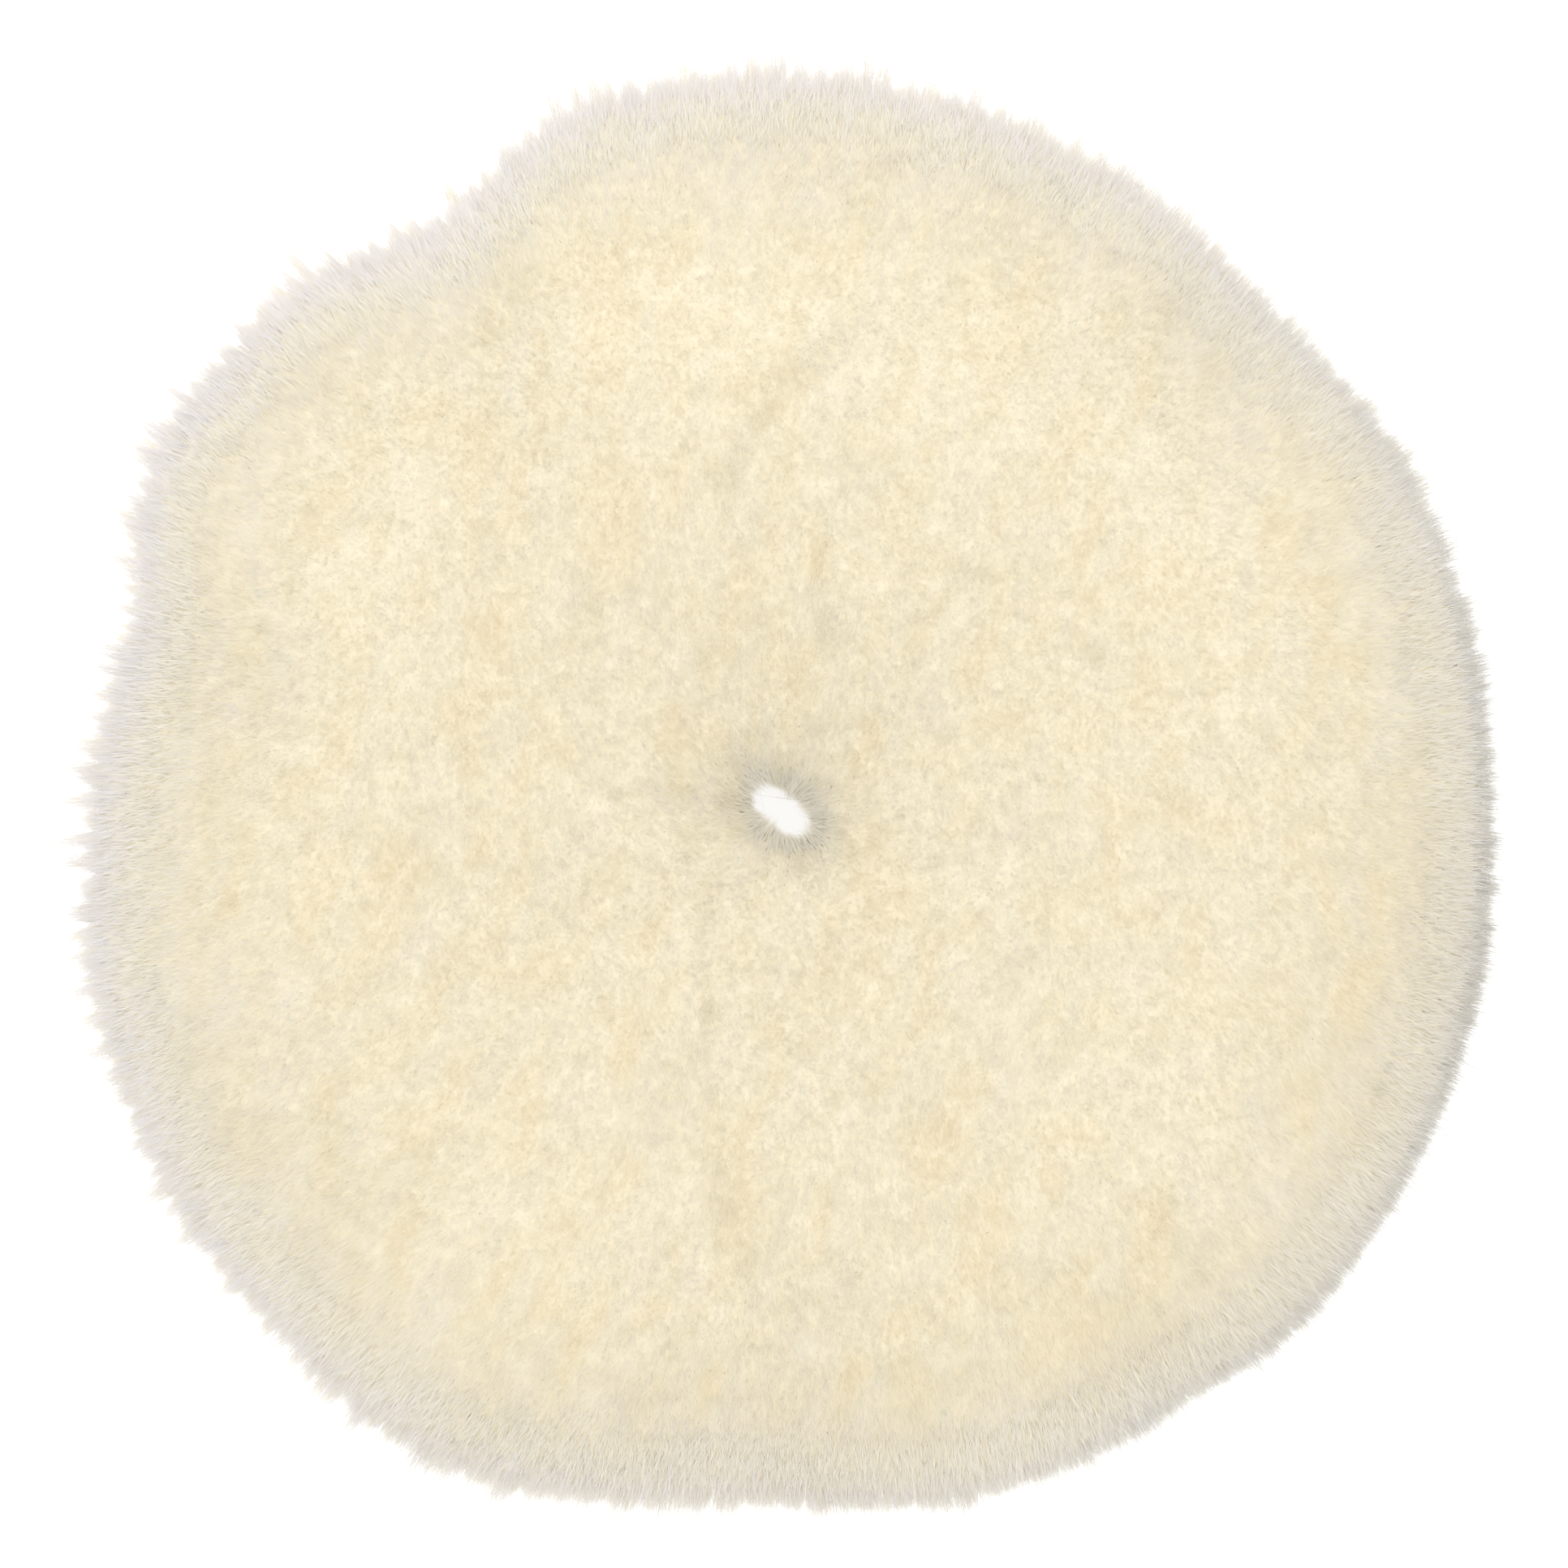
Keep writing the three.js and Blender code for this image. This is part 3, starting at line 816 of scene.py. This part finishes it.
def make_film(name, node, bottom, top, seed, material):
    """Transfer adhesive: a thin film whose edges have crept unevenly."""
    inner, outer = HOLE_RADIUS + 0.3 * MM, FILM_RADIUS - 0.1 * MM
    corners = [(inner, bottom), (outer, bottom), (outer, top), (inner, top)]
    section = finer(np.array(corners), 1.5 * MM)
    radius, height, angles = round_ring(section, 360)
    x, y = polar(radius, angles)
    wide = 0.35 * MM * smooth_noise(x, y, 4 * MM, seed)
    narrow = 0.15 * MM * smooth_noise(x, y, 1.3 * MM, seed + 1)
    edge = edge_share(radius, inner, outer, 2 * MM, 2 * MM)
    middle = (bottom + top) / 2
    thin = 0.88 + 0.1 * smooth_noise(x, y, 2.5 * MM, seed + 2)
    height = middle + (height - middle) * thin
    radius = radius + (wide + narrow - 0.3 * MM) * edge
    ring_piece(name, spin(radius, height, angles), material, node)


def film_material():
    """Clear amber glue, smooth and slightly clouded."""
    material, nodes, links, shader = surface("transfer_adhesive", 0.32, 0.5)
    clouds = noise_node(nodes, links, 260, 3)
    amber = ((0.3, (0.55, 0.42, 0.17)), (0.7, (0.72, 0.6, 0.32)))
    paint(nodes, links, shader, clouds.outputs[0], amber)
    bumpy(nodes, links, shader, clouds.outputs[0], 0.3, 0.05 * MM)
    return material


def make_foam(material):
    """The foam disc: a soft shoulder above, and open cells on all its cut faces."""
    inner, outer = HOLE_RADIUS, FOAM_RADIUS
    shoulder = arc(outer - FOAM_SHOULDER, FOAM_TOP - FOAM_SHOULDER, FOAM_SHOULDER, 0, 90, 6)
    corners = [(inner, FOAM_LOW), (outer, FOAM_LOW), *shoulder, (inner, FOAM_TOP)]
    section = finer(np.array(corners), 0.8 * MM)
    radius, height, angles = round_ring(section, 480)
    mid_radius = np.clip(radius, inner + 2 * MM, outer - 3 * MM)
    mid_height = (FOAM_LOW + FOAM_TOP) / 2
    around = angles * outer
    cells = clumps(around, radius * 0.7 + height, 1.6 * MM, 53)[3]
    pit = 0.3 * MM * (1 - ease(0.2 * MM, 0.9 * MM, cells)) + 0.04 * MM
    in_r, in_z = mid_radius - radius, mid_height - height
    size = np.maximum(np.hypot(in_r, in_z), 1e-6)
    radius, height = radius + in_r / size * pit, height + in_z / size * pit
    piece = ring_piece("foam_core", spin(radius, height, angles), material,
                       "foam_interlayer")


def foam_material():
    """Dark grey open-cell foam, with painted shade darkest in its cells."""
    material, nodes, links, shader = surface("interlayer_foam", 0.88, 0.2)
    cells = pit_node(nodes, links, 1500)
    # Painted shade: the cells' middles, which the bump sinks into pits, are painted darker.
    grey = ((0.1, (0.035, 0.037, 0.04)), (0.5, (0.11, 0.115, 0.12)), (0.8, (0.17, 0.175, 0.18)))
    paint(nodes, links, shader, cells.outputs["Distance"], grey)
    bumpy(nodes, links, shader, cells.outputs["Distance"], 0.9, 0.25 * MM)
    return material


# ---------------------------------------------------------------- hook-and-loop back

def backing_section():
    """The loop cloth's section: its ground above, its pile's roots below, pressed up at the rim."""
    low, groove = 0.95 * MM, 1.05 * MM
    rim_low = BACKING_RIM_TOP - 0.85 * MM
    return np.array([
        (HOLE_RADIUS, low), (CENTRE_SEAM - 1.2 * MM, low), (CENTRE_SEAM - 0.5 * MM, groove),
        (CENTRE_SEAM + 0.5 * MM, groove), (CENTRE_SEAM + 1.2 * MM, low), (69 * MM, low),
        (71.5 * MM, rim_low), (BACKING_RADIUS, rim_low), (BACKING_RADIUS, BACKING_RIM_TOP),
        (70.9 * MM, BACKING_RIM_TOP), (68.4 * MM, BACKING_TOP), (HOLE_RADIUS, BACKING_TOP),
    ])


def make_backing(cloth, pile):
    """The loop cloth's ground, with cut edges that fray a little, and its loops."""
    section = finer(backing_section(), 0.8 * MM)
    radius, height, angles = round_ring(section, 540)
    x, y = polar(radius, angles)
    edge = edge_share(radius, HOLE_RADIUS, BACKING_RADIUS, MM, MM)
    fray = 0.12 * MM * smooth_noise(x, y, 0.9 * MM, 47) - 0.1 * MM
    under = height < BACKING_TOP - 0.4 * MM
    height = height + np.where(under, 0.06, 0) * MM * smooth_noise(x, y, 1.1 * MM, 49)
    ground = ring_piece("loop_ground_cloth", spin(radius + fray * edge, height, angles), cloth,
                        "loop_backing")
    make_loops(pile)


def make_loops(material):
    """The knitted loops that the plate's hooks take hold of, each a small slanting arch."""
    rng = np.random.default_rng(19)
    sown, steps, foot = 16500, 7, 0.98 * MM
    radius = np.sqrt(rng.uniform((HOLE_RADIUS + 0.7 * MM) ** 2, (68.6 * MM) ** 2, sown))
    radius = radius[np.abs(radius - CENTRE_SEAM) > 1.5 * MM]
    count = len(radius)
    angle = rng.uniform(0, TURN, count)
    turn = rng.uniform(0, TURN, count)
    wide = rng.uniform(0.35, 0.6, count) * MM
    deep = rng.uniform(0.72, 0.92, count) * MM
    slant = rng.normal(0, 0.22 * MM, (count, 2))
    middle = np.stack(polar(radius, angle), axis=-1)
    line = np.empty((count, steps, 3))
    for k, t in enumerate(np.linspace(0, math.pi, steps)):
        drop = math.sin(t)
        swing = np.stack(polar(wide * math.cos(t), turn), axis=-1)
        line[:, k, :2] = middle + swing + slant * drop
        line[:, k, 2] = foot - deep * drop
    side = unit(np.stack([-np.sin(turn), np.cos(turn), 0.4 * rng.normal(size=count)], axis=-1))
    side = np.repeat(side[:, None], steps, axis=1)
    half = np.full((count, steps), 0.055 * MM)
    tone = rng.random(count)
    ribbons("loop_pile", line, side, half, tone, material, "loop_backing")


def cloth_material():
    """Brushed tricot: fine wales across the pale ground."""
    material, nodes, links, shader = surface("loop_ground", 0.85, 0.2)
    wales = pattern(nodes, links, "ShaderNodeTexWave", {"Scale": 330, "Distortion": 1.5})
    clouds = noise_node(nodes, links, 700, 3)
    both = nodes.new("ShaderNodeMath")
    both.operation = "ADD"
    links.new(wales.outputs["Fac"], both.inputs[0])
    links.new(clouds.outputs[0], both.inputs[1])
    grey = ((0.2, (0.42, 0.41, 0.38)), (0.5, (0.6, 0.585, 0.55)), (0.9, (0.74, 0.73, 0.7)))
    paint(nodes, links, shader, both.outputs[0], grey)
    bumpy(nodes, links, shader, both.outputs[0], 0.6, 0.15 * MM)
    return material


def loop_material():
    """Polyester filament of the loops, each a little lighter or darker than the next."""
    material, nodes, links, shader = surface("loop_filament", 0.5, 0.5)
    white = ((0, (0.6, 0.59, 0.56)), (1, (0.86, 0.855, 0.84)))
    paint(nodes, links, shader, laid_out(nodes, links)["Y"], white)
    return material


# ---------------------------------------------------------------- seams

def closed_curve(points, step):
    """Evenly spaced points on a closed curve through the given points, and its length."""
    before, after, later = (np.roll(points, k, axis=0) for k in (1, -1, -2))
    rows = []
    for t in np.linspace(0, 1, 12, endpoint=False):
        rows.append(curve_point(before, points, after, later, t))
    dense = np.stack(rows, axis=1).reshape(-1, 3)
    dense = np.vstack([dense, dense[:1]])
    far = np.concatenate([[0], np.cumsum(np.linalg.norm(np.diff(dense, axis=0), axis=1))])
    at = np.linspace(0, far[-1], int(far[-1] / step), endpoint=False)
    return np.stack([np.interp(at, far, dense[:, k]) for k in range(3)], axis=-1), far[-1]


def steady_frames(line):
    """Two directions across a closed line at each point, turning as little as they can,
    and the angle by which they miss their start after one round."""
    along = unit(np.roll(line, -1, axis=0) - np.roll(line, 1, axis=0))
    across = np.empty_like(along)
    current = np.cross(along[0], (0, 0, 1.0))
    for k, way in enumerate(along):
        current = current - way * (current @ way)
        current = current / np.linalg.norm(current)
        across[k] = current
    other = np.cross(along, across)
    last = across[-1] - along[0] * (across[-1] @ along[0])
    slip = math.atan2(last @ other[0], last @ across[0])
    return across, other, slip


def make_thread(name, node, stitches, stitch_points, material):
    """A closed ring of three-ply thread along points that repeat for each stitch."""
    points = []
    for stitch in range(stitches):
        for share, radius, height in stitch_points:
            angle = TURN * (stitch + share) / stitches
            points.append((*polar(radius, angle), height))
    line, length = closed_curve(np.array(points), 0.3 * MM)
    across, other, slip = steady_frames(line)
    plies, lay, sides = 3, 1.9 * MM, 12
    twists = round(length / lay * plies) / plies
    share = np.arange(len(line))[:, None] / len(line)
    angles = (TURN * np.arange(sides) / sides)[None]
    turned = angles - share * slip
    lobes = np.abs(np.cos(plies / 2 * (turned - share * (TURN * twists))))
    size = THREAD_RADIUS * (0.7 + 0.3 * lobes ** 0.7)
    step_across, step_other = polar(size, turned)
    outlines = line[:, None] + across[:, None] * step_across[..., None]
    outlines = outlines + other[:, None] * step_other[..., None]
    ring_piece(name, outlines, material, node)


def thread_material():
    """Polyester sewing thread: fine filaments, a little shine, and slight shade changes."""
    material, nodes, links, shader = surface("sewing_thread", 0.48, 0.5)
    filaments = noise_node(nodes, links, 2600, 3)
    cream = ((0.3, (0.74, 0.66, 0.5)), (0.7, (0.88, 0.82, 0.68)))
    paint(nodes, links, shader, filaments.outputs[0], cream)
    bumpy(nodes, links, shader, filaments.outputs[0], 0.4, 0.05 * MM)
    put(shader, {"Sheen Weight": 0.2})
    return material


def make_seams():
    """The overlock's three threads round the rim, and the two of the ring round the hole.
    Each stitch is given as (share of the stitch, radius, height) points."""
    material = thread_material()
    rim_stitches, centre_stitches = 72, 20
    clear = GAP + THREAD_RADIUS
    top = BACKING_RIM_TOP + GAP + 2 * RIM_HIDE_HALF + clear
    under = 1.3 * MM - clear
    middle = (top + under) / 2
    seam, over = 72.2 * MM, BACKING_RADIUS + 0.1 * MM
    edge = BACKING_RADIUS + clear + 0.05 * MM
    make_thread("overlock_needle_thread", "rim_needle_thread", rim_stitches, (
        (0, seam - 0.1 * MM, top - 0.08 * MM), (0.2, seam - 0.18 * MM, top + 0.06 * MM),
        (0.5, seam - 0.2 * MM, top + 0.08 * MM), (0.8, seam - 0.18 * MM, top + 0.06 * MM),
    ), material)
    make_thread("overlock_upper_thread", "rim_upper_looper_thread", rim_stitches, (
        (0, seam + 0.9 * MM, top), (0.3, over, top),
        (0.5, edge, middle + 0.8 * MM), (0.7, over, top),
    ), material)
    make_thread("overlock_lower_thread", "rim_lower_looper_thread", rim_stitches, (
        (0, edge, middle - 0.8 * MM), (0.2, over, under),
        (0.5, seam + 0.2 * MM, under), (0.8, over, under),
    ), material)
    ring, above, below = CENTRE_SEAM, HIDE_TOP + clear, 0.9 * MM - clear
    make_thread("centre_stitch_needle_thread", "centre_needle_thread", centre_stitches, (
        (0, ring, above - 0.06 * MM), (0.25, ring, above + 0.04 * MM),
        (0.5, ring, above + 0.06 * MM), (0.75, ring, above + 0.04 * MM),
    ), material)
    make_thread("centre_stitch_bobbin_thread", "centre_bobbin_thread", centre_stitches, (
        (0, ring, below), (0.5, ring, below - 0.05 * MM),
    ), material)


bpy.context.scene.view_settings.view_transform = "Standard"
bpy.context.scene.cycles.diffuse_bounces = 10
make_camera()
make_lights()
make_world()
make_floor()
make_backing(cloth_material(), loop_material())
films = film_material()
make_film("rear_transfer_film", "rear_adhesive_film", REAR_LOW, REAR_TOP, 131, films)
make_foam(foam_material())
make_film("front_transfer_film", "front_adhesive_film", FRONT_LOW, FRONT_TOP, 137, films)
make_hide(leather_material())
make_seams()
make_wool()
